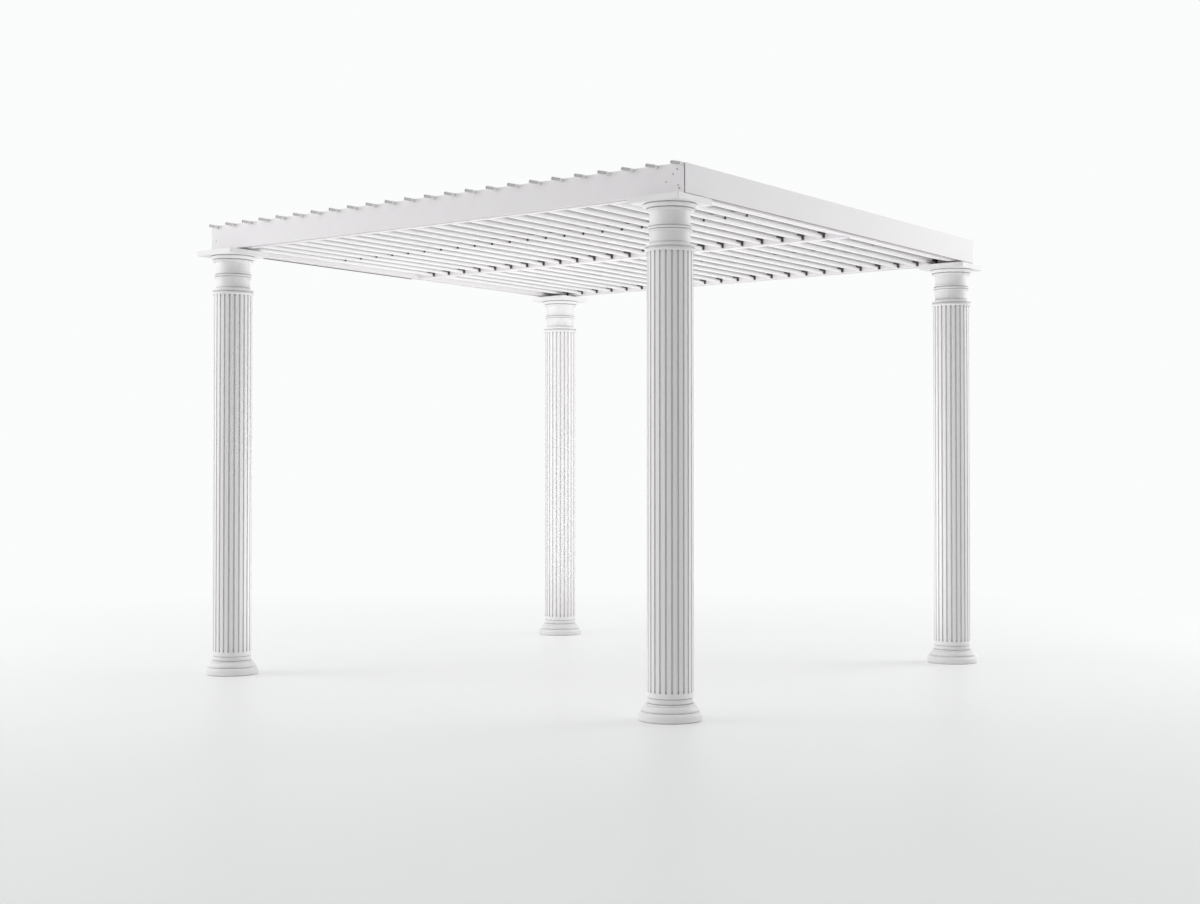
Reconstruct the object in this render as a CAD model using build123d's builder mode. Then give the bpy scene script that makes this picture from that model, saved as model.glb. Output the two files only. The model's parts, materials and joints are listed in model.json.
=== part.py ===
"""Garden pergola: a beam frame with slats on top and louvre blades below, on four fluted columns."""

import os
from math import cos, radians, sin

from build123d import *

# Column grid, in millimetres. The front runs along X at the lowest Y, and the floor is at zero height.
column_spacing = 3050.0
column_height = 2427.0

# Column base: a wide foot, a groove, a roll, a collar and a plain neck between two narrow grooves
base_diameter = 300.0
base_foot_height = 42.0
base_foot_top_radius = 18.0
base_foot_edge_radius = 9.0
base_groove_diameter = 240.0
base_groove_height = 6.0
base_roll_diameter = 267.0
base_roll_height = 25.0
base_collar_diameter = 232.0
base_collar_step = 2.0
base_collar_height = 7.0
base_neck_diameter = 213.0
base_neck_height = 20.5
neck_groove_diameter = 200.0
lower_neck_groove_height = 4.0
upper_neck_groove_height = 3.0

# Shaft and its flutes
shaft_diameter = 218.0
shaft_foot_band = 25.0
flute_count = 24
flute_width = 9.5
flute_depth = 9.0
flute_turn = -6.0

# Capital, from the bead over the flutes up to the square plate
bead_diameter = 240.0
bead_height = 15.0
bead_groove_diameter = 212.0
bead_groove_height = 8.0
cove_band_diameter = 236.0
cove_band_height = 7.0
cove_diameter = 228.0
cove_height = 11.0
neck_diameter = 193.0
cove_groove_diameter = 184.0
cove_groove_height = 4.0
lower_neck_height = 50.0
ring_foot_diameter = 206.0
ring_foot_height = 7.0
ring_foot_groove_height = 3.0
neck_ring_diameter = 216.0
neck_ring_height = 11.0
ring_groove_diameter = 189.0
ring_groove_height = 4.0
ring_fillet_diameter = 205.0
ring_fillet_height = 7.0
upper_neck_height = 65.0
echinus_foot_diameter = 227.0
echinus_foot_height = 6.0
echinus_groove_diameter = 202.0
echinus_groove_height = 5.0
echinus_curve_diameter = 222.0
echinus_diameter = 252.0
echinus_curve_height = 13.0
echinus_fillet_height = 4.0
abacus_groove_diameter = 226.0
abacus_groove_height = 4.0
abacus_width = 288.0
abacus_thickness = 29.0
abacus_edge_radius = 4.0

# Beam frame, mitred at its corners, with a drip groove along the underside
front_overhang = 58.0
side_overhang = 122.0
beam_height = 139.0
beam_width = 75.0
drip_lip = 7.0
drip_groove_width = 36.0
drip_groove_depth = 30.0
mitre_gap = 4.0
pad_height = 10.0
pad_length = 120.0
pad_setback = 20.0
mid_beam_width = 50.0
mid_beam_offset = 115.0
mid_beam_drop = 6.0

# Slats across the beams: flat hollow sections with round edges, left edge raised, in channels in the beams
slat_count = 24
slat_width = 60.0
slat_thickness = 18.0
slat_edge_radius = 8.0
slat_wall = 2.0
slat_tilt = 13.0
slat_overhang = 24.0
slat_sink = 18.0
slat_side_gap = 2.0
side_beam_lip = 3.0
seat_thin_edge = 2.5
seat_setback = 6.0
cut_overrun = 5.0

# Louvre blades between the beams, in a front and a back bay
blade_count = 24
blade_width = 122.0
blade_thickness = 24.0
blade_edge_radius = 11.0
blade_tilt = 13.0
blade_rise = 4.0
purlin_width = 40.0
purlin_height = 38.0
purlin_clearance = 0.2

# Sizes that follow from those above
base_roll_level = base_foot_height + base_groove_height
base_collar_level = base_roll_level + base_roll_height
lower_neck_groove_level = base_collar_level + base_collar_height
base_neck_level = lower_neck_groove_level + lower_neck_groove_height
upper_neck_groove_level = base_neck_level + base_neck_height
base_height = upper_neck_groove_level + upper_neck_groove_height
cove_band_level = bead_height + bead_groove_height
cove_level = cove_band_level + cove_band_height
cove_groove_level = cove_level + cove_height
lower_neck_level = cove_groove_level + cove_groove_height
ring_foot_level = lower_neck_level + lower_neck_height
ring_foot_groove_level = ring_foot_level + ring_foot_height
ring_level = ring_foot_groove_level + ring_foot_groove_height
ring_groove_level = ring_level + neck_ring_height
ring_fillet_level = ring_groove_level + ring_groove_height
upper_neck_level = ring_fillet_level + ring_fillet_height
echinus_level = upper_neck_level + upper_neck_height
echinus_groove_level = echinus_level + echinus_foot_height
echinus_curve_level = echinus_groove_level + echinus_groove_height
echinus_fillet_level = echinus_curve_level + echinus_curve_height
abacus_groove_level = echinus_fillet_level + echinus_fillet_height
capital_height = abacus_groove_level + abacus_groove_height
shaft_length = column_height - base_height - capital_height - abacus_thickness
capital_level = base_height + shaft_length
half_grid = column_spacing / 2
half_width = half_grid + side_overhang
half_depth = half_grid + front_overhang
beam_level = column_height + pad_height
beam_top = beam_level + beam_height
inner_half_width = half_width - beam_width
inner_half_depth = half_depth - beam_width
mid_beam_front = mid_beam_offset - mid_beam_width / 2
mid_beam_back = mid_beam_offset + mid_beam_width / 2
flute_centre_radius = shaft_diameter / 2 - flute_depth + flute_width / 2
slat_lean = radians(slat_tilt)
slat_half_span = slat_width / 2 * cos(slat_lean) + slat_thickness / 2 * sin(slat_lean)
slat_channel_width = 2 * (slat_half_span + slat_side_gap)
slat_bed_level = beam_top - slat_sink
slat_half_length = half_depth + slat_overhang
outer_slat_place = half_width - side_beam_lip - slat_channel_width / 2
slat_pitch = 2 * outer_slat_place / (slat_count - 1)
slat_positions = [(i - (slat_count - 1) / 2) * slat_pitch for i in range(slat_count)]

corners = {
    "front_left": (-half_grid, -half_grid),
    "front_right": (half_grid, -half_grid),
    "back_left": (-half_grid, half_grid),
    "back_right": (half_grid, half_grid),
}
inward_directions = {
    "front": Vector(0, 1, 0),
    "right": Vector(-1, 0, 0),
    "back": Vector(0, -1, 0),
    "left": Vector(1, 0, 0),
}

os.makedirs("parts", exist_ok=True)


def save(piece, name):
    """Labels a finished sub-part and writes its STEP file."""
    piece.part.label = name
    export_step(piece.part, f"parts/{name}.step")


def turning_plane(x, y, level):
    """The upright plane of a turned profile: radius to the right, height up."""
    return Plane(origin=(x, y, level), x_dir=(1, 0, 0), z_dir=(0, -1, 0))


def rounded_bar_drop(width, thickness, radius, tilt):
    """Height of a tilted rounded bar's centre over its lowest point."""
    lean = radians(tilt)
    return (width / 2 - radius) * sin(lean) + (thickness / 2 - radius) * cos(lean) + radius


# Column bases, turned: a rounded foot, a deep groove, a roll that runs up to the collar, and the neck
for corner, (x, y) in corners.items():
    foot_radius = base_diameter / 2
    roll_top_radius = base_collar_diameter / 2 - base_collar_step
    with BuildPart() as column_base:
        with BuildSketch(turning_plane(x, y, 0)):
            with BuildLine():
                Polyline((0, base_height), (0, 0), (foot_radius - base_foot_edge_radius, 0))
                TangentArc(
                    (foot_radius - base_foot_edge_radius, 0),
                    (foot_radius, base_foot_edge_radius),
                    tangent=(1, 0),
                )
                Line(
                    (foot_radius, base_foot_edge_radius),
                    (foot_radius, base_foot_height - base_foot_top_radius),
                )
                TangentArc(
                    (foot_radius, base_foot_height - base_foot_top_radius),
                    (foot_radius - base_foot_top_radius, base_foot_height),
                    tangent=(0, 1),
                )
                Polyline(
                    (foot_radius - base_foot_top_radius, base_foot_height),
                    (base_groove_diameter / 2, base_foot_height),
                    (base_groove_diameter / 2, base_roll_level),
                    (base_roll_diameter / 2, base_roll_level),
                )
                TangentArc(
                    (base_roll_diameter / 2, base_roll_level),
                    (roll_top_radius, base_collar_level),
                    tangent=(0, 1),
                )
                Polyline(
                    (roll_top_radius, base_collar_level),
                    (base_collar_diameter / 2, base_collar_level),
                    (base_collar_diameter / 2, lower_neck_groove_level),
                    (neck_groove_diameter / 2, lower_neck_groove_level),
                    (neck_groove_diameter / 2, base_neck_level),
                    (base_neck_diameter / 2, base_neck_level),
                    (base_neck_diameter / 2, upper_neck_groove_level),
                    (neck_groove_diameter / 2, upper_neck_groove_level),
                    (neck_groove_diameter / 2, base_height),
                    (0, base_height),
                )
            make_face()
        revolve(axis=Axis((x, y, 0), (0, 0, 1)))
    save(column_base, f"{corner}_column_base")

# Column shafts: a round drum over a plain foot band, with narrow round-bottomed flutes up to the bead
flute_length = shaft_length - shaft_foot_band
for corner, (x, y) in corners.items():
    with BuildPart() as column_shaft:
        with BuildSketch(Plane((x, y, base_height))):
            Circle(shaft_diameter / 2)
        extrude(amount=shaft_length)
        with BuildSketch(Plane((x, y, base_height + shaft_foot_band))):
            with PolarLocations(flute_centre_radius, flute_count, start_angle=flute_turn):
                Circle(flute_width / 2)
                Rectangle(flute_depth + cut_overrun, flute_width, align=(Align.MIN, Align.CENTER))
        extrude(amount=flute_length, mode=Mode.SUBTRACT)
    save(column_shaft, f"{corner}_column_shaft")

# Capitals, turned: bead, cove, lower neck, ring, upper neck and echinus, parted by narrow dark grooves
for corner, (x, y) in corners.items():
    bead_radius = bead_diameter / 2 - bead_height / 2
    ring_radius = neck_ring_diameter / 2 - neck_ring_height / 2
    with BuildPart() as capital:
        with BuildSketch(turning_plane(x, y, capital_level)):
            with BuildLine():
                Polyline((0, capital_height), (0, 0), (bead_radius, 0))
                ThreePointArc(
                    (bead_radius, 0),
                    (bead_diameter / 2, bead_height / 2),
                    (bead_radius, bead_height),
                )
                Polyline(
                    (bead_radius, bead_height),
                    (bead_groove_diameter / 2, bead_height),
                    (bead_groove_diameter / 2, cove_band_level),
                    (cove_band_diameter / 2, cove_band_level),
                    (cove_band_diameter / 2, cove_level),
                    (cove_diameter / 2, cove_level),
                )
                TangentArc(
                    (neck_diameter / 2, cove_groove_level),
                    (cove_diameter / 2, cove_level),
                    tangent=(0, -1),
                )
                Polyline(
                    (neck_diameter / 2, cove_groove_level),
                    (cove_groove_diameter / 2, cove_groove_level),
                    (cove_groove_diameter / 2, lower_neck_level),
                    (neck_diameter / 2, lower_neck_level),
                    (neck_diameter / 2, ring_foot_level),
                    (ring_foot_diameter / 2, ring_foot_level),
                    (ring_foot_diameter / 2, ring_foot_groove_level),
                    (ring_groove_diameter / 2, ring_foot_groove_level),
                    (ring_groove_diameter / 2, ring_level),
                    (ring_radius, ring_level),
                )
                ThreePointArc(
                    (ring_radius, ring_level),
                    (neck_ring_diameter / 2, ring_level + neck_ring_height / 2),
                    (ring_radius, ring_groove_level),
                )
                Polyline(
                    (ring_radius, ring_groove_level),
                    (ring_groove_diameter / 2, ring_groove_level),
                    (ring_groove_diameter / 2, ring_fillet_level),
                    (ring_fillet_diameter / 2, ring_fillet_level),
                    (ring_fillet_diameter / 2, upper_neck_level),
                    (neck_diameter / 2, upper_neck_level),
                    (neck_diameter / 2, echinus_level),
                    (echinus_foot_diameter / 2, echinus_level),
                    (echinus_foot_diameter / 2, echinus_groove_level),
                    (echinus_groove_diameter / 2, echinus_groove_level),
                    (echinus_groove_diameter / 2, echinus_curve_level),
                    (echinus_curve_diameter / 2, echinus_curve_level),
                )
                TangentArc(
                    (echinus_diameter / 2, echinus_fillet_level),
                    (echinus_curve_diameter / 2, echinus_curve_level),
                    tangent=(0, -1),
                )
                Polyline(
                    (echinus_diameter / 2, echinus_fillet_level),
                    (echinus_diameter / 2, abacus_groove_level),
                    (abacus_groove_diameter / 2, abacus_groove_level),
                    (abacus_groove_diameter / 2, capital_height),
                    (0, capital_height),
                )
            make_face()
        revolve(axis=Axis((x, y, 0), (0, 0, 1)))
    save(capital, f"{corner}_capital")

# Square abacus plates on the capitals
for corner, (x, y) in corners.items():
    with BuildPart() as abacus:
        with BuildSketch(Plane((x, y, column_height - abacus_thickness))):
            Rectangle(abacus_width, abacus_width)
        extrude(amount=abacus_thickness)
        fillet(abacus.edges().filter_by(Axis.Z), abacus_edge_radius)
    save(abacus, f"{corner}_abacus")

# Pads that carry the frame's corners on the abacus plates, set back from the outer faces
for corner, (x, y) in corners.items():
    side_x = 1 if x > 0 else -1
    side_y = 1 if y > 0 else -1
    pad_x = side_x * (half_width - pad_setback - pad_length / 2)
    pad_y = side_y * (half_depth - pad_setback - pad_length / 2)
    with BuildPart() as pad:
        with BuildSketch(Plane((pad_x, pad_y, column_height))):
            Rectangle(pad_length, pad_length)
        extrude(amount=pad_height)
    save(pad, f"{corner}_corner_pad")

# Frame beams: one grooved section drawn from the outer face inwards, cut to a mitre at both ends,
# with a channel through the top wherever a slat crosses
slat_channels = [(x, slat_bed_level) for x in slat_positions]
for side, inward in inward_directions.items():
    along = inward.cross(Vector(0, 0, 1))
    face_distance = half_depth if side in ("front", "back") else half_width
    half_length = half_width if side in ("front", "back") else half_depth
    outer_middle = inward * -face_distance + Vector(0, 0, beam_level)
    start = outer_middle - along * half_length
    with BuildPart() as beam:
        with BuildSketch(Plane(origin=start, x_dir=inward, z_dir=along)):
            Rectangle(beam_width, beam_height, align=(Align.MIN, Align.MIN))
            with Locations((drip_lip + drip_groove_width / 2, drip_groove_depth / 2)):
                Rectangle(drip_groove_width, drip_groove_depth, mode=Mode.SUBTRACT)
        extrude(amount=2 * half_length)
        for end in (along, along * -1):
            mitre_normal = (end + inward).normalized()
            mitre_point = outer_middle + end * half_length - mitre_normal * (mitre_gap / 2)
            split(bisect_by=Plane(origin=mitre_point, z_dir=mitre_normal), keep=Keep.BOTTOM)
        with BuildSketch(Plane.XZ.offset(slat_half_length)):
            with Locations(*slat_channels):
                Rectangle(slat_channel_width, slat_sink + cut_overrun, align=(Align.CENTER, Align.MIN))
        extrude(amount=-2 * slat_half_length, mode=Mode.SUBTRACT)
    save(beam, f"{side}_beam")

# Mid beam between the two side beams, a little deeper than they are, with the same channels
with BuildPart() as mid_beam:
    with BuildSketch(Plane((0, mid_beam_offset, beam_level - mid_beam_drop))):
        Rectangle(2 * inner_half_width, mid_beam_width)
    extrude(amount=beam_height + mid_beam_drop)
    with BuildSketch(Plane.XZ.offset(slat_half_length)):
        with Locations(*slat_channels):
            Rectangle(slat_channel_width, slat_sink + cut_overrun, align=(Align.CENTER, Align.MIN))
    extrude(amount=-2 * slat_half_length, mode=Mode.SUBTRACT)
save(mid_beam, "mid_beam")

# Top slats: tilted hollow sections side by side over the whole width of the frame
flat_half = slat_width / 2 - slat_edge_radius
seat_drop = flat_half * sin(slat_lean) + slat_thickness / 2 * cos(slat_lean)
slat_level = slat_bed_level + seat_thin_edge + seat_drop
with BuildPart() as top_slats:
    with BuildSketch(Plane.XZ.offset(slat_half_length)):
        with Locations(*[(x, slat_level) for x in slat_positions]):
            RectangleRounded(slat_width, slat_thickness, slat_edge_radius, rotation=-slat_tilt)
            RectangleRounded(
                slat_width - 2 * slat_wall,
                slat_thickness - 2 * slat_wall,
                slat_edge_radius - slat_wall,
                rotation=-slat_tilt,
                mode=Mode.SUBTRACT,
            )
    extrude(amount=-2 * slat_half_length)
save(top_slats, "top_slats")

# Seats: low wedges in the channels, each with the slope of the slat that lies on it
seat_left = -flat_half * cos(slat_lean) - slat_thickness / 2 * sin(slat_lean)
seat_right = flat_half * cos(slat_lean) - slat_thickness / 2 * sin(slat_lean)
seat_high_edge = seat_thin_edge + 2 * flat_half * sin(slat_lean)
seat_places = {
    "front": (-half_depth + seat_setback, -inner_half_depth - seat_setback),
    "mid": (mid_beam_front + seat_setback, mid_beam_back - seat_setback),
    "back": (inner_half_depth + seat_setback, half_depth - seat_setback),
}
for place, (y_low, y_high) in seat_places.items():
    with BuildPart() as seats:
        with BuildSketch(Plane.XZ.offset(-y_low)):
            for x in slat_positions:
                with BuildLine():
                    Polyline(
                        (x + seat_left, slat_bed_level),
                        (x + seat_right, slat_bed_level),
                        (x + seat_right, slat_bed_level + seat_thin_edge),
                        (x + seat_left, slat_bed_level + seat_high_edge),
                        close=True,
                    )
                make_face()
        extrude(amount=y_low - y_high)
    save(seats, f"{place}_slat_seats")

# Louvre blades: tilted flat bars with round edges, from beam to beam in each bay
blade_pitch = 2 * inner_half_width / blade_count
blade_drop = rounded_bar_drop(blade_width, blade_thickness, blade_edge_radius, blade_tilt)
blade_level = beam_level + blade_rise + blade_drop
blade_places = [((i - (blade_count - 1) / 2) * blade_pitch, blade_level) for i in range(blade_count)]
bays = {
    "front": (-inner_half_depth, mid_beam_front),
    "back": (mid_beam_back, inner_half_depth),
}
for bay, (y_low, y_high) in bays.items():
    with BuildPart() as blades:
        with BuildSketch(Plane.XZ.offset(-y_low)):
            with Locations(*blade_places):
                RectangleRounded(blade_width, blade_thickness, blade_edge_radius, rotation=-blade_tilt)
        extrude(amount=y_low - y_high)
    save(blades, f"{bay}_louvre_blades")

# Purlins across the bays, just over the blades
purlin_level = blade_level + blade_drop + purlin_clearance
for bay, (y_low, y_high) in bays.items():
    with BuildPart() as purlin:
        with BuildSketch(Plane((0, (y_low + y_high) / 2, purlin_level))):
            Rectangle(2 * inner_half_width, purlin_width)
        extrude(amount=purlin_height)
    save(purlin, f"{bay}_purlin")
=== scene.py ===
# %% [markdown]
# # A white garden pergola
# Four fluted columns carry a frame of beams. Louvre blades fill the frame, and a second layer of
# hollow slats lies across the top. Everything is white powder-coated aluminium, so this lesson is
# about two things: small true details on clean shapes, and soft light that lets white surfaces keep
# their shading.
#
# The solid model is loaded as a fixed frame in metres. Its pieces are never moved here. They get
# finishes, and small things such as screws and end plugs are modelled beside them.

# %% Load the frame
import json
from math import cos, pi, radians, sin

import bmesh
import bpy
from mathutils import Matrix, Vector


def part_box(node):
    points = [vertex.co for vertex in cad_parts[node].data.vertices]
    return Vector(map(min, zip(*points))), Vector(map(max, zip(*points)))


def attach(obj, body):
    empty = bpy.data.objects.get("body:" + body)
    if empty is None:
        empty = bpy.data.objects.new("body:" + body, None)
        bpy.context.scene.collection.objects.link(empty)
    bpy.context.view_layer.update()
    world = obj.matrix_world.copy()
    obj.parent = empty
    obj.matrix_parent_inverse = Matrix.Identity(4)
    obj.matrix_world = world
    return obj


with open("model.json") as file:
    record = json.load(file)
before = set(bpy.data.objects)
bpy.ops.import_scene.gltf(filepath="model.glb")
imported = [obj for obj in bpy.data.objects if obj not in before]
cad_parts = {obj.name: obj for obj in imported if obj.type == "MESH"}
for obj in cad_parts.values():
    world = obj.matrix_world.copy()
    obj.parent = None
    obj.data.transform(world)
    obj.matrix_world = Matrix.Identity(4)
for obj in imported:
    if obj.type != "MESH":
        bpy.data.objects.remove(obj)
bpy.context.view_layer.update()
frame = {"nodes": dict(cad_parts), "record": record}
scene = bpy.context.scene
print("pieces in the frame:", len(frame["nodes"]))

# %% [markdown]
# ## Camera
# The photograph looks up a little from about chest height, with the near corner in the middle of the
# picture. The place and the lens were worked out from the columns and the edges of the beams, so the
# render and the photograph can be laid over each other. A camera looks down its own -Z axis, so a turn
# of 90 degrees about X makes it level, a little more tips it up, and a turn about Z swings it to the
# side.

# %% Place the camera
picture_width_px, focal_length_px = 1200, 1659.9
sensor_width_mm = 36.0
camera_place = (5.89375, -7.90795, 1.11997)
camera_tip, camera_turn = 0.92, 36.81

camera_data = bpy.data.cameras.new("photo_camera")
camera_data.sensor_width = sensor_width_mm
camera_data.lens = focal_length_px / picture_width_px * sensor_width_mm
camera_data.clip_end = 200.0
camera = bpy.data.objects.new("photo_camera", camera_data)
camera.location = camera_place
camera.rotation_euler = (radians(90 + camera_tip), 0.0, radians(camera_turn))
scene.collection.objects.link(camera)
scene.camera = camera
print("lens in mm:", round(camera_data.lens, 2))


# %% [markdown]
# ## Helpers for shader nodes
# A procedural material is a chain of small steps, and three of them come back all the time here: a noise,
# a step of arithmetic, and a blend of two colours. Each gets a short function that makes the node, fills
# in its sockets and hands back its output. A socket is filled either by a link from another node or by a
# plain value.

# %% Node helpers
def fill(tree, socket, value):
    """Links a socket to an output, or gives it a plain value."""
    if isinstance(value, bpy.types.NodeSocket):
        tree.links.new(value, socket)
    else:
        socket.default_value = value


def noise(tree, place, scale, detail=2.0):
    """A cloudy pattern; larger scales are finer."""
    node = tree.nodes.new("ShaderNodeTexNoise")
    tree.links.new(place, node.inputs["Vector"])
    fill(tree, node.inputs["Scale"], scale)
    node.inputs["Detail"].default_value = detail
    return node.outputs["Fac"]


def calculate(tree, operation, *values):
    """One step of arithmetic on two or three values."""
    node = tree.nodes.new("ShaderNodeMath")
    node.operation = operation
    for socket, value in zip(node.inputs, values):
        fill(tree, socket, value)
    return node.outputs["Value"]


def blend_colors(tree, factor, first, second):
    """Goes from the first colour to the second as the factor grows."""
    node = tree.nodes.new("ShaderNodeMix")
    node.data_type = "RGBA"
    tree.links.new(factor, node.inputs["Factor"])
    fill(tree, node.inputs["A"], first)
    fill(tree, node.inputs["B"], second)
    return node.outputs["Result"]


print("node helpers:", [f.__name__ for f in (fill, noise, calculate, blend_colors)])


# %% [markdown]
# ## Node groups
# What several materials share is made once, as a group with sockets on its outside. The sockets are the
# same for every material, and the values on them are not. This helper lays out the sockets and hands back
# the two ends, between which the steps are then linked.

# %% Empty node group
def new_group(name, colors, numbers, results):
    """A node group with its sockets, but nothing between them yet."""
    group = bpy.data.node_groups.new(name, "ShaderNodeTree")
    face = group.interface
    for color in colors:
        face.new_socket(color, in_out="INPUT", socket_type="NodeSocketColor")
    for number, value in numbers.items():
        socket = face.new_socket(number, in_out="INPUT", socket_type="NodeSocketFloat")
        socket.default_value = value
    for result, kind in results.items():
        face.new_socket(result, in_out="OUTPUT", socket_type=kind)
    given = group.nodes.new("NodeGroupInput").outputs
    wanted = group.nodes.new("NodeGroupOutput").inputs
    return group, given, wanted


print("group helper:", new_group.__name__)


# %% [markdown]
# ## Powder coat
# Powder coat is paint that is sprayed on as dry powder and baked until it flows. It never flows quite
# flat: it keeps a fine, soft waviness that makers call orange peel, and its gloss wanders a little over
# a large piece. Both belong to every white part here, so they are made once as a node group and placed
# in each material with its own values. The group only puts out a colour, a roughness and a normal. The
# shader itself stays in the material.

# %% Orange peel group
def powder_coat_group():
    """Colour, roughness and normal of a baked powder coat."""
    group, given, wanted = new_group(
        "powder_coat",
        colors=("Coat Color", "Shade Color"),
        numbers={"Cloud Scale": 1.3, "Peel Scale": 420.0, "Peel Height": 0.12, "Gloss": 0.42},
        results={
            "Color": "NodeSocketColor",
            "Roughness": "NodeSocketFloat",
            "Normal": "NodeSocketVector",
        },
    )
    place = group.nodes.new("ShaderNodeTexCoord").outputs["Object"]

    clouds = noise(group, place, given["Cloud Scale"], detail=3.0)
    tone = blend_colors(group, clouds, given["Coat Color"], given["Shade Color"])
    group.links.new(tone, wanted["Color"])

    gloss_change, peel_depth = 0.12, 0.0004
    wander = calculate(group, "MULTIPLY_ADD", clouds, gloss_change, given["Gloss"])
    group.links.new(wander, wanted["Roughness"])

    peel = noise(group, place, given["Peel Scale"], detail=1.5)
    bump = group.nodes.new("ShaderNodeBump")
    bump.inputs["Distance"].default_value = peel_depth
    group.links.new(given["Peel Height"], bump.inputs["Strength"])
    group.links.new(peel, bump.inputs["Height"])
    group.links.new(bump.outputs["Normal"], wanted["Normal"])
    return group


powder_coat = powder_coat_group()
print("sockets of the coat:", [item.name for item in powder_coat.interface.items_tree])


# %% [markdown]
# ## Shade in the grooves
# Flutes, grooves and the joints between two pieces look darker than open surfaces. Part of that is
# missing light, which is painted into the colour here as painted shade, and part is fine dust that rain
# never washes out of a narrow groove. The Ambient Occlusion node finds such places on any shape: it looks
# around each point over a short reach and says how much of the way is open. A group turns that into a
# tint of painted shade and dust, so every coat can use it with its own reach. A Map Range node says where
# the shade starts and where it is full. The floor and the light need that node too, so it has a helper.

# %% Groove shade group
def remap(tree, value, start, end, low=0.0, high=1.0, interpolation="LINEAR"):
    """Stretches the range from start to end so that it runs from low to high."""
    node = tree.nodes.new("ShaderNodeMapRange")
    node.interpolation_type = interpolation
    limits = {"From Min": start, "From Max": end, "To Min": low, "To Max": high}
    for name, limit in limits.items():
        node.inputs[name].default_value = limit
    tree.links.new(value, node.inputs["Value"])
    return node.outputs["Result"]


def groove_shade_group():
    """Darkens a colour with painted shade and dust where the surface is hemmed in."""
    group, given, wanted = new_group(
        "groove_shade",
        colors=("Color", "Dust And Shade Color"),
        numbers={"Reach": 0.02, "Dust And Shade": 0.7},
        results={"Color": "NodeSocketColor"},
    )
    # Painted shade: where little of the way is open, the colour darkens, as shade and dust together.
    openness = group.nodes.new("ShaderNodeAmbientOcclusion")
    openness.samples = 6
    group.links.new(given["Reach"], openness.inputs["Distance"])

    tight, open_enough = 0.15, 0.6
    hemmed = remap(
        group, openness.outputs["AO"], tight, open_enough, low=1.0, high=0.0,
        interpolation="SMOOTHSTEP",
    )
    amount = calculate(group, "MULTIPLY", hemmed, given["Dust And Shade"])
    tint = blend_colors(group, amount, given["Color"], given["Dust And Shade Color"])
    group.links.new(tint, wanted["Color"])
    return group


groove_shade = groove_shade_group()
print("sockets of the shade:", [item.name for item in groove_shade.interface.items_tree])


# %% [markdown]
# ## One recipe for all coats
# A short function places the two shared groups in a material, and the numbers make the rest. The first
# colours are the lightest and darkest tone of the slow clouds. Gloss is the roughness where it is
# smoothest, peel is the orange peel, reach says how wide a groove may be to count as one, and
# dust_and_shade says how dark the painted shade and dust in it are.

# %% Coat recipe
# Dark colour of the painted shade and dust in the grooves.
dust_and_shade_color = (0.20, 0.185, 0.185, 1.0)


def coat_material(name, white, shade, gloss, peel_scale, peel_height, cloud_scale, reach, dust_and_shade):
    """A coat: the two shared groups feed one Principled shader."""
    material = bpy.data.materials.new(name)
    material.use_nodes = True
    nodes, links = material.node_tree.nodes, material.node_tree.links
    shader = nodes["Principled BSDF"]
    coat = nodes.new("ShaderNodeGroup")
    coat.node_tree = powder_coat
    coat.inputs["Coat Color"].default_value = (*white, 1.0)
    coat.inputs["Shade Color"].default_value = (*shade, 1.0)
    coat.inputs["Gloss"].default_value = gloss
    coat.inputs["Peel Scale"].default_value = peel_scale
    coat.inputs["Peel Height"].default_value = peel_height
    coat.inputs["Cloud Scale"].default_value = cloud_scale
    # The groove group paints shade and dust into the base colour.
    groove = nodes.new("ShaderNodeGroup")
    groove.node_tree = groove_shade
    groove.inputs["Dust And Shade Color"].default_value = dust_and_shade_color
    groove.inputs["Reach"].default_value = reach
    groove.inputs["Dust And Shade"].default_value = dust_and_shade
    links.new(coat.outputs["Color"], groove.inputs["Color"])
    links.new(groove.outputs["Color"], shader.inputs["Base Color"])
    links.new(coat.outputs["Roughness"], shader.inputs["Roughness"])
    links.new(coat.outputs["Normal"], shader.inputs["Normal"])
    shader.inputs["IOR"].default_value = 1.5
    return material


print("recipe:", coat_material.__name__)

# %% [markdown]
# ## Five white coats
# Columns, beams, slats and blades are coated in the same white, but they are different pieces of metal. A
# turned column is a little smoother than a long extruded beam, and the broad blades show the paint's slow
# clouds most. The white has a trace of violet in it, as many cool whites do. The shafts get a coat of
# their own: it is a lighter white, as painted light on the lands between the flutes, and its deep flutes
# get strong painted shade with dust, while the open curves of the bases and capitals hardly do.

# %% Coats for each kind of piece
coats = {
    "column_coat": coat_material(
        "column_coat", white=(0.91, 0.90, 0.903), shade=(0.88, 0.87, 0.873), gloss=0.40,
        peel_scale=380, peel_height=0.10, cloud_scale=1.6, reach=0.010, dust_and_shade=0.12,
    ),
    "frame_coat": coat_material(
        "frame_coat", white=(0.885, 0.865, 0.88), shade=(0.86, 0.84, 0.855), gloss=0.42,
        peel_scale=340, peel_height=0.14, cloud_scale=0.9, reach=0.012, dust_and_shade=0.6,
    ),
    "slat_coat": coat_material(
        "slat_coat", white=(0.88, 0.87, 0.875), shade=(0.84, 0.83, 0.835), gloss=0.44,
        peel_scale=420, peel_height=0.12, cloud_scale=1.8, reach=0.015, dust_and_shade=0.6,
    ),
    "blade_coat": coat_material(
        "blade_coat", white=(0.91, 0.90, 0.905), shade=(0.87, 0.86, 0.865), gloss=0.40,
        peel_scale=360, peel_height=0.12, cloud_scale=2.2, reach=0.025, dust_and_shade=0.5,
    ),
}
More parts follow.
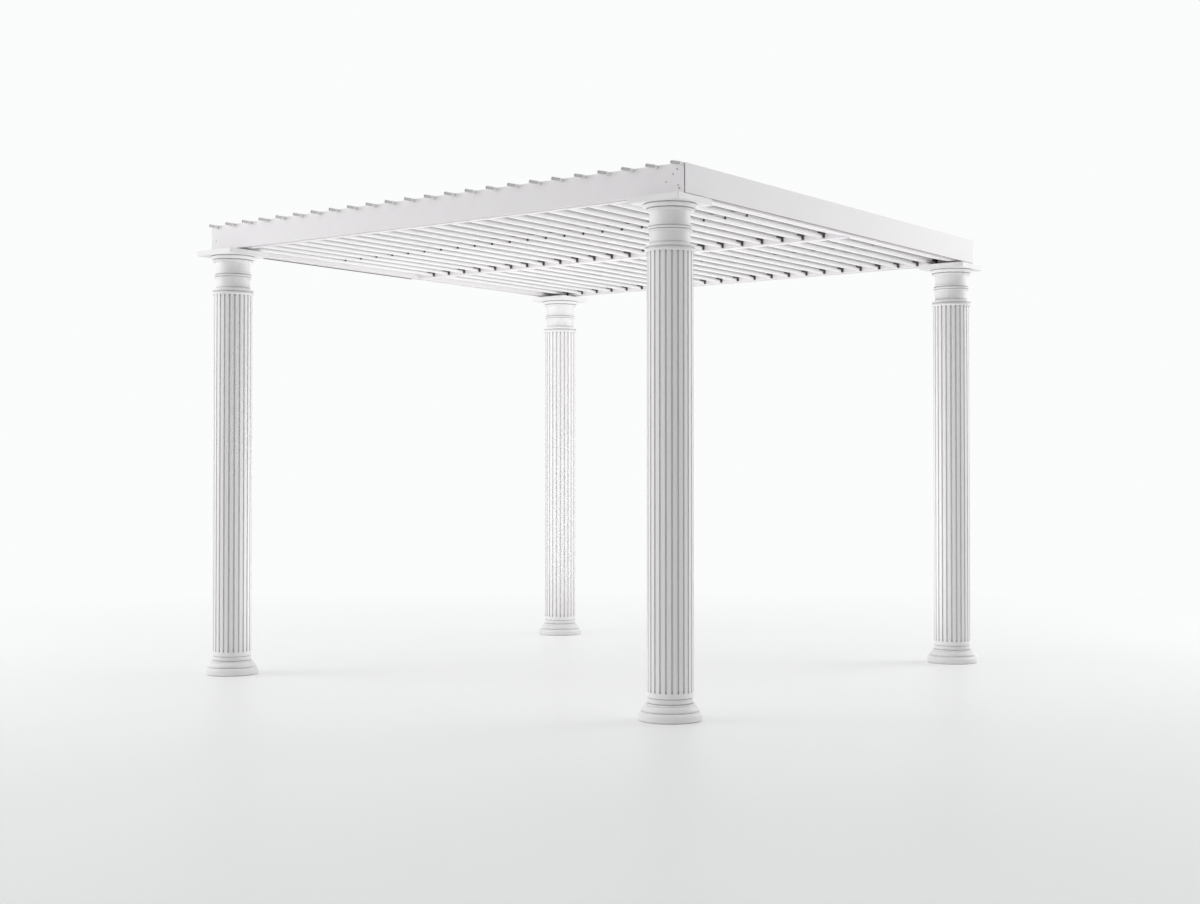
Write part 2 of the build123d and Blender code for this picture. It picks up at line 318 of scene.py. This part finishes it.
# Painted light: the shaft's white is lighter than the rest of the column, and its flutes get more painted
# shade.
shaft_coat = coat_material(
    "shaft_coat", white=(0.94, 0.93, 0.932), shade=(0.91, 0.90, 0.903), gloss=0.40,
    peel_scale=380, peel_height=0.10, cloud_scale=1.6, reach=0.014, dust_and_shade=0.65,
)
for entry in frame["record"]["subparts"]:
    name, slot = entry["node"], entry["material_slot"]
    piece = frame["nodes"][name]
    piece.data.materials.clear()
    piece.data.materials.append(shaft_coat if "shaft" in name else coats[slot])
print("coats:", sorted(coats), shaft_coat.name)


# %% [markdown]
# ## Helpers for small shapes
# The roof has many small equal pieces: plugs, seals, clips, pins and screws. They are made with the same
# few moves. A rectangle or a circle is drawn, it is grown into a solid by an extrusion, and its edges are
# softened by a bevel, because no real edge is perfectly sharp. When a face in the middle of a solid grows,
# its edges go along too, so that no wall is left behind inside.

# %% Draw, grow and soften
def rectangle(width, height):
    """A flat face about the origin, as a mesh in the making."""
    shape = bmesh.new()
    bmesh.ops.create_grid(shape, x_segments=1, y_segments=1, size=0.5)
    bmesh.ops.scale(shape, vec=(width, height, 1.0), verts=shape.verts)
    return shape


def grow(shape, faces, move):
    """Extrudes faces by a move and hands back the faces at the new end."""
    edges = [e for f in faces for e in f.edges]
    end = bmesh.ops.extrude_face_region(shape, geom=faces + edges)["geom"]
    bmesh.ops.translate(shape, vec=move, verts=[v for v in end if isinstance(v, bmesh.types.BMVert)])
    return [f for f in end if isinstance(f, bmesh.types.BMFace)]


def soften(shape, geom, affect, width, segments):
    """Bevels corners or edges with a round profile."""
    bmesh.ops.bevel(
        shape, geom=geom, offset=width, offset_type="OFFSET", affect=affect,
        segments=segments, profile=0.5, material=-1,
    )


print("shape helpers:", rectangle.__name__, grow.__name__, soften.__name__)


# %% [markdown]
# ## From a shape to a piece
# Each shape is modelled once about the origin. One helper copies it to a list of places, and a second
# turns the result into a piece of the pergola, which is named, coated and tied to the frame.

# %% Copy a shape and finish a piece
def copies(shape, places):
    """Copies a small shape to every place, as one mesh in the making."""
    pattern = bpy.data.meshes.new("pattern")
    shape.to_mesh(pattern)
    shape.free()
    whole = bmesh.new()
    for place in places:
        first = len(whole.verts)
        whole.from_mesh(pattern)
        whole.verts.ensure_lookup_table()
        bmesh.ops.transform(whole, matrix=place, verts=whole.verts[first:])
    bpy.data.meshes.remove(pattern)
    return whole


def finish_piece(name, builder, material, slot):
    """Names, coats and ties a finished mesh to the pergola."""
    bmesh.ops.recalc_face_normals(builder, faces=builder.faces)
    mesh = bpy.data.meshes.new(name)
    builder.to_mesh(mesh)
    builder.free()
    mesh.materials.append(material)
    piece = bpy.data.objects.new(name, mesh)
    scene.collection.objects.link(piece)
    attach(piece, "root")
    return piece


print("piece helpers:", copies.__name__, finish_piece.__name__)

# %% [markdown]
# ## Plugs in the slat ends
# Each slat is a hollow section, and an open end would let water and wasps in. A pressed-in plug closes
# it. Its outline is the inside of the section: a rectangle with round corners. An extrusion gives it
# depth, and an inset leaves a narrow rim. The plug sits a little inside the end, so a thin shadow runs
# round it, and it is painted a greyer white than the slat, as painted shade on the sunken end.
#
# The box round all slats gives their places. The middle of the first and of the last one lies half the
# width of a tilted slat inside it, and the others follow in equal steps.

# %% Slat end plugs
slat_low, slat_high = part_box("top_slats")
slat_tilt, slat_number = radians(13.0), 24
half_slat = 0.029661
slat_step = (slat_high[0] - slat_low[0] - 2 * half_slat) / (slat_number - 1)
slat_places = [slat_low[0] + half_slat + i * slat_step for i in range(slat_number)]
slat_middle = (slat_low[2] + slat_high[2]) / 2

plug_width, plug_height, plug_depth, plug_corner = 0.056, 0.014, 0.008, 0.006
rim_width, rim_depth = 0.0015, 0.0007
plug_set_back = 0.0095
plug = rectangle(plug_width, plug_height)
soften(plug, plug.verts[:], "VERTICES", plug_corner, segments=4)
plug_face = grow(plug, plug.faces[:], (0.0, 0.0, plug_depth))
bmesh.ops.inset_individual(plug, faces=plug_face, thickness=rim_width, depth=-rim_depth)

face_front = Matrix.Rotation(pi / 2, 4, "X")
face_back = Matrix.Rotation(-pi / 2, 4, "X")
lean = Matrix.Rotation(slat_tilt, 4, "Y")
plug_places = []
for x in slat_places:
    front_end = Matrix.Translation((x, slat_low[1] + plug_set_back, slat_middle))
    back_end = Matrix.Translation((x, slat_high[1] - plug_set_back, slat_middle))
    plug_places.append(front_end @ lean @ face_front)
    plug_places.append(back_end @ lean @ face_back)
# The plugs' grey is painted shade on the sunken ends of the slats.
plug_coat = coat_material(
    "plug_coat", white=(0.55, 0.54, 0.545), shade=(0.47, 0.46, 0.465), gloss=0.48,
    peel_scale=420, peel_height=0.12, cloud_scale=14.0, reach=0.006, dust_and_shade=0.6,
)
plugs = finish_piece("slat_end_plugs", copies(plug, plug_places), plug_coat, "slat_coat")
print("plugs:", len(plug_places), "faces:", len(plugs.data.polygons))

# %% [markdown]
# ## Fillers in the slat channels
# Every slat lies in a channel cut through the beams, and an open channel would show dark gaps beside it.
# A thin filler closes its mouth, almost flush with the face of the beam and cut round the slat. On the
# model the slat simply passes through it, so one small plate with softened edges does for all of them.

# %% Channel fillers
front_face, back_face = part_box("front_beam")[0][1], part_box("back_beam")[1][1]
channel_bed, beam_top = 2.558, 2.576
channel_width, filler_depth, filler_set_back = 0.0664, 0.004, 0.0003
filler_edge = 0.0005
filler = rectangle(channel_width, beam_top - channel_bed)
grow(filler, filler.faces[:], (0.0, 0.0, filler_depth))
soften(filler, filler.edges[:], "EDGES", filler_edge, segments=1)

filler_middle = (channel_bed + beam_top) / 2
filler_places = []
for x in slat_places:
    front_root = front_face + filler_depth + filler_set_back
    back_root = back_face - filler_depth - filler_set_back
    filler_places.append(Matrix.Translation((x, front_root, filler_middle)) @ face_front)
    filler_places.append(Matrix.Translation((x, back_root, filler_middle)) @ face_back)
fillers = finish_piece(
    "channel_fillers", copies(filler, filler_places), coats["frame_coat"], "frame_coat"
)
print("fillers:", len(filler_places), "faces:", len(fillers.data.polygons))

# %% [markdown]
# ## Sealant in the base grooves
# The foot and the roll of a column base are two turned forms. The groove between them is closed with a
# ring of white sealant that stays a little behind the surface, so only a soft line shows. A small
# rectangle with round corners is spun once round the column's axis, and the seam is merged.

# %% Sealant rings
ring_radius, ring_level = 0.1247, 0.045
ring_width, ring_height, ring_corner = 0.010, 0.0058, 0.0012
ring_steps, merge_distance = 72, 0.00005
ring = rectangle(ring_width, ring_height)
soften(ring, ring.verts[:], "VERTICES", ring_corner, segments=2)
ring_seat = Matrix.Translation((ring_radius, 0.0, ring_level))
bmesh.ops.transform(ring, matrix=ring_seat @ face_front, verts=ring.verts)
section = ring.faces[:]
bmesh.ops.spin(
    ring, geom=ring.edges[:], cent=(0.0, 0.0, 0.0), axis=(0.0, 0.0, 1.0),
    angle=2 * pi, steps=ring_steps, use_merge=True,
)
bmesh.ops.delete(ring, geom=section, context="FACES_ONLY")
bmesh.ops.remove_doubles(ring, verts=ring.verts[:], dist=merge_distance)

ring_places = []
for corner in ("front_left", "front_right", "back_left", "back_right"):
    base_low, base_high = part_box(f"{corner}_column_base")
    axis_x, axis_y = (base_low[0] + base_high[0]) / 2, (base_low[1] + base_high[1]) / 2
    ring_places.append(Matrix.Translation((axis_x, axis_y, 0.0)))
rings = finish_piece(
    "base_sealant", copies(ring, ring_places), coats["column_coat"], "column_coat"
)
print("rings:", len(ring_places), "faces:", len(rings.data.polygons))

# %% [markdown]
# ## Rubber
# Rubber takes the same recipe as the paint, with much darker colours and a coarse, dull skin. The black
# is its own colour. The two greyer copies are the same rubber, painted only as dark as the shade they
# stand for: between the blades, and under the right beam.

# %% Three tones of rubber, two of them painted shade
rubber = coat_material(
    "seal_rubber", white=(0.045, 0.038, 0.035), shade=(0.085, 0.072, 0.066), gloss=0.60,
    peel_scale=900, peel_height=0.30, cloud_scale=9.0, reach=0.006, dust_and_shade=0.2,
)
# Grey copy of the rubber, painted as dark as the shade in the gaps between the blades.
gap_shade_rubber = coat_material(
    "gap_shade_rubber", white=(0.17, 0.155, 0.15), shade=(0.24, 0.22, 0.215), gloss=0.66,
    peel_scale=900, peel_height=0.30, cloud_scale=6.0, reach=0.006, dust_and_shade=0.2,
)
# Paler copy of the rubber, painted as light as the shade line under the right beam.
edge_shade_rubber = coat_material(
    "edge_shade_rubber", white=(0.36, 0.345, 0.34), shade=(0.44, 0.42, 0.415), gloss=0.66,
    peel_scale=900, peel_height=0.30, cloud_scale=6.0, reach=0.006, dust_and_shade=0.2,
)
print("rubber:", rubber.name, gap_shade_rubber.name, edge_shade_rubber.name)

# %% [markdown]
# ## Steel
# The screws are turned on a lathe, so their brightness changes in fine rings. A wave texture in rings
# would need one centre per screw, so a fine stretched noise stands for the scratches. It changes the
# colour and the roughness together, because a scratched patch is both paler and duller.

# %% Steel for the screws
dark_steel, pale_steel = (0.38, 0.38, 0.39, 1.0), (0.54, 0.54, 0.55, 1.0)
smoothest, dullest = 0.28, 0.45
scratch_scale = (300.0, 300.0, 4000.0)
steel = bpy.data.materials.new("fixing_steel")
steel.use_nodes = True
tree = steel.node_tree
steel_shader = tree.nodes["Principled BSDF"]
steel_shader.inputs["Metallic"].default_value = 1.0
stretch = tree.nodes.new("ShaderNodeMapping")
stretch.inputs["Scale"].default_value = scratch_scale
place = tree.nodes.new("ShaderNodeTexCoord")
tree.links.new(place.outputs["Object"], stretch.inputs["Vector"])
scratches = noise(tree, stretch.outputs["Vector"], 1.0)
metal = blend_colors(tree, scratches, dark_steel, pale_steel)
tree.links.new(metal, steel_shader.inputs["Base Color"])
dull = remap(tree, scratches, 0.0, 1.0, smoothest, dullest)
tree.links.new(dull, steel_shader.inputs["Roughness"])
print("steel:", steel.name)


# %% [markdown]
# ## Seals between the blades
# Where two blades meet, a soft rubber lip closes the gap, so that closed blades keep rain out. From below
# the lips are the thin dark lines of the ceiling: their grey stands in, as painted shade, for the shade in
# the gaps. Each one is a flat oval bead on the raised edge of a blade that reaches towards the lower edge
# of the next: a circle of a few points, squeezed, leaned over and extruded along the bay.

# %% Blade seals
def add_bead(shape, half_width, half_thickness, shift, place, length):
    """Adds an oval bead that starts at a place and runs back along Y."""
    oval = bmesh.ops.create_circle(shape, cap_ends=True, segments=8, radius=1.0)["verts"]
    bmesh.ops.scale(shape, vec=(half_width, half_thickness, 1.0), verts=oval)
    bmesh.ops.translate(shape, vec=(shift, 0.0, 0.0), verts=oval)
    bmesh.ops.transform(shape, matrix=place @ face_front, verts=oval)
    grow(shape, list(oval[0].link_faces), (0.0, length, 0.0))


front_bay_low, front_bay_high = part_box("front_louvre_blades")
back_bay_low, back_bay_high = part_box("back_louvre_blades")
bays = ((front_bay_low[1], front_bay_high[1]), (back_bay_low[1], back_bay_high[1]))
blade_middle = (front_bay_low[2] + front_bay_high[2]) / 2
blade_step, gap_number = 0.131, 23
gap_places = [(i - (gap_number - 1) / 2) * blade_step for i in range(gap_number)]

seal_half_width, seal_half_thickness, seal_shift = 0.0045, 0.0015, 0.0052
seal_lean = Matrix.Rotation(radians(-33.8), 4, "Y")
seals = bmesh.new()
for x in gap_places:
    for bay_start, bay_end in bays:
        start = Matrix.Translation((x, bay_start, blade_middle)) @ seal_lean
        add_bead(seals, seal_half_width, seal_half_thickness, seal_shift, start, bay_end - bay_start)
# The seals' grey is painted shade for the gaps between the blades.
seal_piece = finish_piece("blade_seals", seals, gap_shade_rubber, "seal_rubber")
print("seals:", len(bays) * len(gap_places), "faces:", len(seal_piece.data.polygons))


# %% [markdown]
# ## Seals under the side beams
# A rubber bead runs along the outer lip under each side beam, where rain would otherwise drip from the
# metal. On the left it is black, as painted shade for the dark line along the lower edge of the front bay,
# and on the right it is a paler grey of painted shade and runs nearly the whole way. Both are the same
# oval bead, set upright.

# %% Edge seals
bead_half_width, bead_half_height = 0.0030, 0.0024
lip_middle, bead_sink = 0.0035, 0.0016


def edge_seal(name, x, start, end, level, material):
    """An oval bead along the underside of a side beam."""
    bead = bmesh.new()
    bead_start = Matrix.Translation((x, start, level))
    add_bead(bead, bead_half_width, bead_half_height, 0.0, bead_start, end - start)
    return finish_piece(name, bead, material, "seal_rubber")


left_seal_start, left_seal_end = -1.27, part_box("mid_beam")[0][1]
right_seal_start, right_seal_end = -1.37, 1.37
left_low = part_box("left_beam")[0]
right_low, right_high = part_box("right_beam")
# Both beads are painted shade: black on the left, a paler grey on the right.
left_seal = edge_seal(
    "left_edge_seal", left_low[0] + lip_middle, left_seal_start, left_seal_end,
    left_low[2] - bead_sink, rubber,
)
right_seal = edge_seal(
    "right_edge_seal", right_high[0] - lip_middle, right_seal_start, right_seal_end,
    right_low[2] - bead_sink, edge_shade_rubber,
)
print("edge seals:", left_seal.name, right_seal.name)

# %% [markdown]
# ## Clips at the blade ends
# At both ends of a bay a black clip holds the blades' ends to the beam. It has an upright foot on the beam
# and a tongue that reaches into the gap, so from below it looks like a small hook. Its black also stands
# in, as painted shade, for the dark gaps at the blade ends. The foot is a small face that grows upwards
# twice, the tongue grows out of the front of its upper half, and a bevel softens every edge.

# %% Blade end clips
clip_width, clip_thickness, clip_foot = 0.011, 0.008, -0.026
lower_rise, upper_rise = 0.018, 0.014
tongue_reach, tongue_rise = 0.050, 0.002
clip_edge = 0.0012
clip = rectangle(clip_width, clip_thickness)
bmesh.ops.translate(clip, vec=(0.0, -clip_thickness / 2, clip_foot), verts=clip.verts)
top = clip.faces[:]
for rise in (lower_rise, upper_rise):
    top = grow(clip, top, (0.0, 0.0, rise))
clip.normal_update()
upper_half = clip_foot + lower_rise
tongue_root = [
    f for f in clip.faces if f.normal.y < -0.9 and f.calc_center_median().z > upper_half
]
grow(clip, tongue_root, (0.0, -tongue_reach, tongue_rise))
soften(clip, clip.edges[:], "EDGES", clip_edge, segments=1)

half_turn = Matrix.Rotation(pi, 4, "Z")
clip_places = []
for x in gap_places:
    for bay_start, bay_end in bays:
        clip_places.append(Matrix.Translation((x, bay_end, blade_middle)))
        clip_places.append(Matrix.Translation((x, bay_start, blade_middle)) @ half_turn)
# The black clips are partly painted shade for the gaps at the blade ends.
clips = finish_piece("blade_end_clips", copies(clip, clip_places), rubber, "seal_rubber")
print("clips:", len(clip_places), "faces:", len(clips.data.polygons))

# %% [markdown]
# ## Hanger pins under the front purlin
# In the middle of the front bay a purlin runs across above the blades. A rubber-sleeved pin hangs from it
# into every gap and keeps the long blades from rattling. Seen from below it is a dark dot in the line of
# the seal, and its black also stands in, as painted shade, for the purlin's shadow seen through the gaps.
# A circle of eight points that grows downwards, with its lower rim bevelled, is enough for such a small
# thing.

# %% Hanger pins
pin_radius, pin_drop, pin_edge = 0.0055, 0.034, 0.0015
pin = bmesh.new()
bmesh.ops.create_circle(pin, cap_ends=True, segments=8, radius=pin_radius)
grow(pin, pin.faces[:], (0.0, 0.0, -pin_drop))
rim = [e for e in pin.edges if all(v.co.z < -pin_drop / 2 for v in e.verts)]
soften(pin, rim, "EDGES", pin_edge, segments=1)

purlin_low, purlin_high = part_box("front_purlin")
pin_y = (purlin_low[1] + purlin_high[1]) / 2
pin_places = [Matrix.Translation((x, pin_y, purlin_low[2])) for x in gap_places]
# The black pins are partly painted shade for the purlin's shadow in the gaps.
pins = finish_piece("hanger_pins", copies(pin, pin_places), rubber, "seal_rubber")
print("pins:", len(pin_places), "faces:", len(pins.data.polygons))

# %% [markdown]
# ## Screws on the front beam
# The mitred corners are held by brackets inside, and their screws show on the front face near both ends.
# Each has a low round head with a sunk drive. A capped circle is extruded, its rim bevelled into a dome,
# and the middle inset and pushed back in.

# %% Corner screws
screw_radius, screw_rise, dome_width = 0.0045, 0.0028, 0.0018
drive_rim, drive_wall, drive_depth = 0.0012, 0.0002, 0.0018
screw = bmesh.new()
bmesh.ops.create_circle(screw, cap_ends=True, segments=16, radius=screw_radius)
grow(screw, screw.faces[:], (0.0, 0.0, screw_rise))
crown = [e for e in screw.edges if all(v.co.z > screw_rise / 2 for v in e.verts)]
soften(screw, crown, "EDGES", dome_width, segments=3)
screw.normal_update()
crown_face = [max(screw.faces, key=lambda f: f.calc_center_median().z)]
bmesh.ops.inset_individual(screw, faces=crown_face, thickness=drive_rim, depth=0.0)
bmesh.ops.inset_individual(screw, faces=crown_face, thickness=drive_wall, depth=-drive_depth)

right_end_spots = [
    (1.604, 2.548), (1.5816, 2.5274), (1.5424, 2.4945), (1.6095, 2.4735), (1.615, 2.459)
]
left_end_spots = [(-1.6075, 2.4913)]
screw_places = [
    Matrix.Translation((x, front_face, z)) @ face_front for x, z in right_end_spots + left_end_spots
]
screws = finish_piece("corner_screws", copies(screw, screw_places), steel, "fixing_steel")
print("screws:", len(screw_places), "faces:", len(screws.data.polygons))

# %% [markdown]
# ## Floor
# The photograph was taken in a white studio whose floor runs into the wall with no line. A large pale disc
# is the floor. It only belongs to the stage, not to the pergola.

# %% Studio floor
floor_radius = 60.0
floor_mesh = bpy.data.meshes.new("studio_floor")
builder = bmesh.new()
bmesh.ops.create_circle(builder, cap_ends=True, segments=128, radius=floor_radius)
builder.to_mesh(floor_mesh)
builder.free()
floor = bpy.data.objects.new("studio_floor", floor_mesh)
scene.collection.objects.link(floor)
print("floor radius in m:", floor_radius)

# %% [markdown]
# ## A floor that fades to white
# Close to the pergola the floor is an ordinary matt surface that takes shadows. Its colour is painted
# greyest near the camera, as painted shade where the studio's light hardly reaches, and grows paler from
# there. Further out it fades, for the camera only, to the same white as the backdrop, so no horizon shows.
# Light Path tells a shader who is looking, and the lamps still see a plain floor.

# %% Floor finish
backdrop_white = (0.965, 0.97, 0.975, 1.0)
near_floor, far_floor = (0.885, 0.895, 0.892, 1.0), (0.965, 0.972, 0.97, 1.0)
greyest_spot = (3.5, -4.0, 0.0)
paler_from, paler_to = 1.0, 4.5
fade_from, fade_to = 4.0, 13.0

floor_coat = bpy.data.materials.new("studio_floor")
floor_coat.use_nodes = True
tree = floor_coat.node_tree
floor_shader = tree.nodes["Principled BSDF"]
floor_shader.inputs["Roughness"].default_value = 0.45
place = tree.nodes.new("ShaderNodeTexCoord")
distance = tree.nodes.new("ShaderNodeVectorMath")
distance.operation = "DISTANCE"
distance.inputs[1].default_value = greyest_spot
tree.links.new(place.outputs["Object"], distance.inputs[0])
# Painted shade: the floor's colour is darker near the camera and paler further out.
paler = remap(tree, distance.outputs["Value"], paler_from, paler_to)
floor_painted_shade = blend_colors(tree, paler, near_floor, far_floor)
tree.links.new(floor_painted_shade, floor_shader.inputs["Base Color"])

fade = remap(tree, distance.outputs["Value"], fade_from, fade_to, interpolation="SMOOTHSTEP")
rays = tree.nodes.new("ShaderNodeLightPath").outputs
seen = calculate(tree, "MULTIPLY", fade, rays["Is Camera Ray"])
paper = tree.nodes.new("ShaderNodeEmission")
paper.inputs["Color"].default_value = backdrop_white
blend = tree.nodes.new("ShaderNodeMixShader")
tree.links.new(seen, blend.inputs["Fac"])
tree.links.new(floor_shader.outputs["BSDF"], blend.inputs[1])
tree.links.new(paper.outputs["Emission"], blend.inputs[2])
tree.links.new(blend.outputs["Shader"], tree.nodes["Material Output"].inputs["Surface"])
floor_mesh.materials.append(floor_coat)
print("floor fades in m:", fade_from, "to", fade_to)

# %% [markdown]
# ## Light
# White on white only reads if the light has a direction. Here the sides of the studio are bright and the
# camera's side is dim, so every column is light along both edges and greyer in the middle. The world gives
# that: its light depends on the direction it comes from, measured by a dot product with the dim direction.
# Straight behind the pergola it falls off again, so that the back does not burn out to white.

# %% World light with a dim side
dim_side, dim_drop = radians(54.0), radians(25.0)
bright_level, dim_level = 1.28, 0.17
bright_until, dim_from = -0.1, 0.6
behind_share, behind_until = 0.6, -0.9

world = bpy.data.worlds.new("studio_world")
scene.world = world
world.use_nodes = True
tree = world.node_tree
tree.nodes.clear()
look = tree.nodes.new("ShaderNodeTexCoord")
toward = tree.nodes.new("ShaderNodeVectorMath")
toward.operation = "DOT_PRODUCT"
toward.inputs[1].default_value = (
    sin(dim_side) * cos(dim_drop), -cos(dim_side) * cos(dim_drop), -sin(dim_drop)
)
tree.links.new(look.outputs["Generated"], toward.inputs[0])
facing = toward.outputs["Value"]
level = remap(tree, facing, bright_until, dim_from, bright_level, dim_level, "SMOOTHSTEP")
behind = remap(tree, facing, behind_until, bright_until, behind_share, 1.0, "SMOOTHSTEP")
studio = tree.nodes.new("ShaderNodeBackground")
tree.links.new(calculate(tree, "MULTIPLY", level, behind), studio.inputs["Strength"])
print("world light from", dim_level, "to", bright_level)

# %% [markdown]
# ## A plain white backdrop
# The uneven light would look strange as a background. So the camera, and anything glossy or clear, sees
# plain white in its place, and only matt surfaces are lit by the world itself.

# %% Backdrop
backdrop = tree.nodes.new("ShaderNodeBackground")
backdrop.inputs["Color"].default_value = backdrop_white
rays = tree.nodes.new("ShaderNodeLightPath").outputs
mirrored = calculate(tree, "MAXIMUM", rays["Is Camera Ray"], rays["Is Glossy Ray"])
direct = calculate(tree, "MAXIMUM", mirrored, rays["Is Transmission Ray"])
choose = tree.nodes.new("ShaderNodeMixShader")
tree.links.new(direct, choose.inputs["Fac"])
tree.links.new(studio.outputs["Background"], choose.inputs[1])
tree.links.new(backdrop.outputs["Background"], choose.inputs[2])
sky = tree.nodes.new("ShaderNodeOutputWorld")
tree.links.new(choose.outputs["Shader"], sky.inputs["Surface"])
scene.view_settings.view_transform = "Standard"
print("world nodes:", len(tree.nodes))


# %% [markdown]
# ## Two soft boxes
# The long faces of the frame grow lighter towards their far ends, which a distant sky cannot do. That
# needs lamps that stand near those ends. One large soft box stands off to the left and lights the front,
# and one stands behind on the right and lights the side.

# %% Soft boxes at the far ends
def soft_box(name, place, target, width, height, power):
    """A large area lamp that faces a point and is hidden from the camera."""
    lamp_data = bpy.data.lights.new(name, "AREA")
    lamp_data.shape = "RECTANGLE"
    lamp_data.size = width
    lamp_data.size_y = height
    lamp_data.energy = power
    lamp = bpy.data.objects.new(name, lamp_data)
    lamp.location = place
    lamp.rotation_euler = (Vector(target) - Vector(place)).to_track_quat("-Z", "Y").to_euler()
    lamp.visible_camera = False
    scene.collection.objects.link(lamp)
    return lamp


left_box = soft_box(
    "left_soft_box", place=(-6.5, -5.5, 3.0), target=(-0.8, -1.2, 1.6),
    width=5.0, height=4.0, power=150.0,
)
right_box = soft_box(
    "right_soft_box", place=(5.5, 6.5, 3.0), target=(1.2, 0.8, 1.6),
    width=5.0, height=4.0, power=165.0,
)
print("soft boxes:", left_box.name, right_box.name)

# %% [markdown]
# ## A low lamp for the ceiling
# In the photograph the undersides of the blades are almost white, because much light comes back from the
# bright studio floor. A wide lamp just over the floor gives that. It also lights the sides of the columns
# that face inwards, which the soft boxes do not reach.

# %% Low lamp under the roof
low_lamp = soft_box(
    "low_soft_box", place=(0.0, 0.0, 0.05), target=(0.0, 0.0, 2.4),
    width=2.4, height=2.4, power=30.0,
)
print("low lamp:", low_lamp.data.energy, "W")
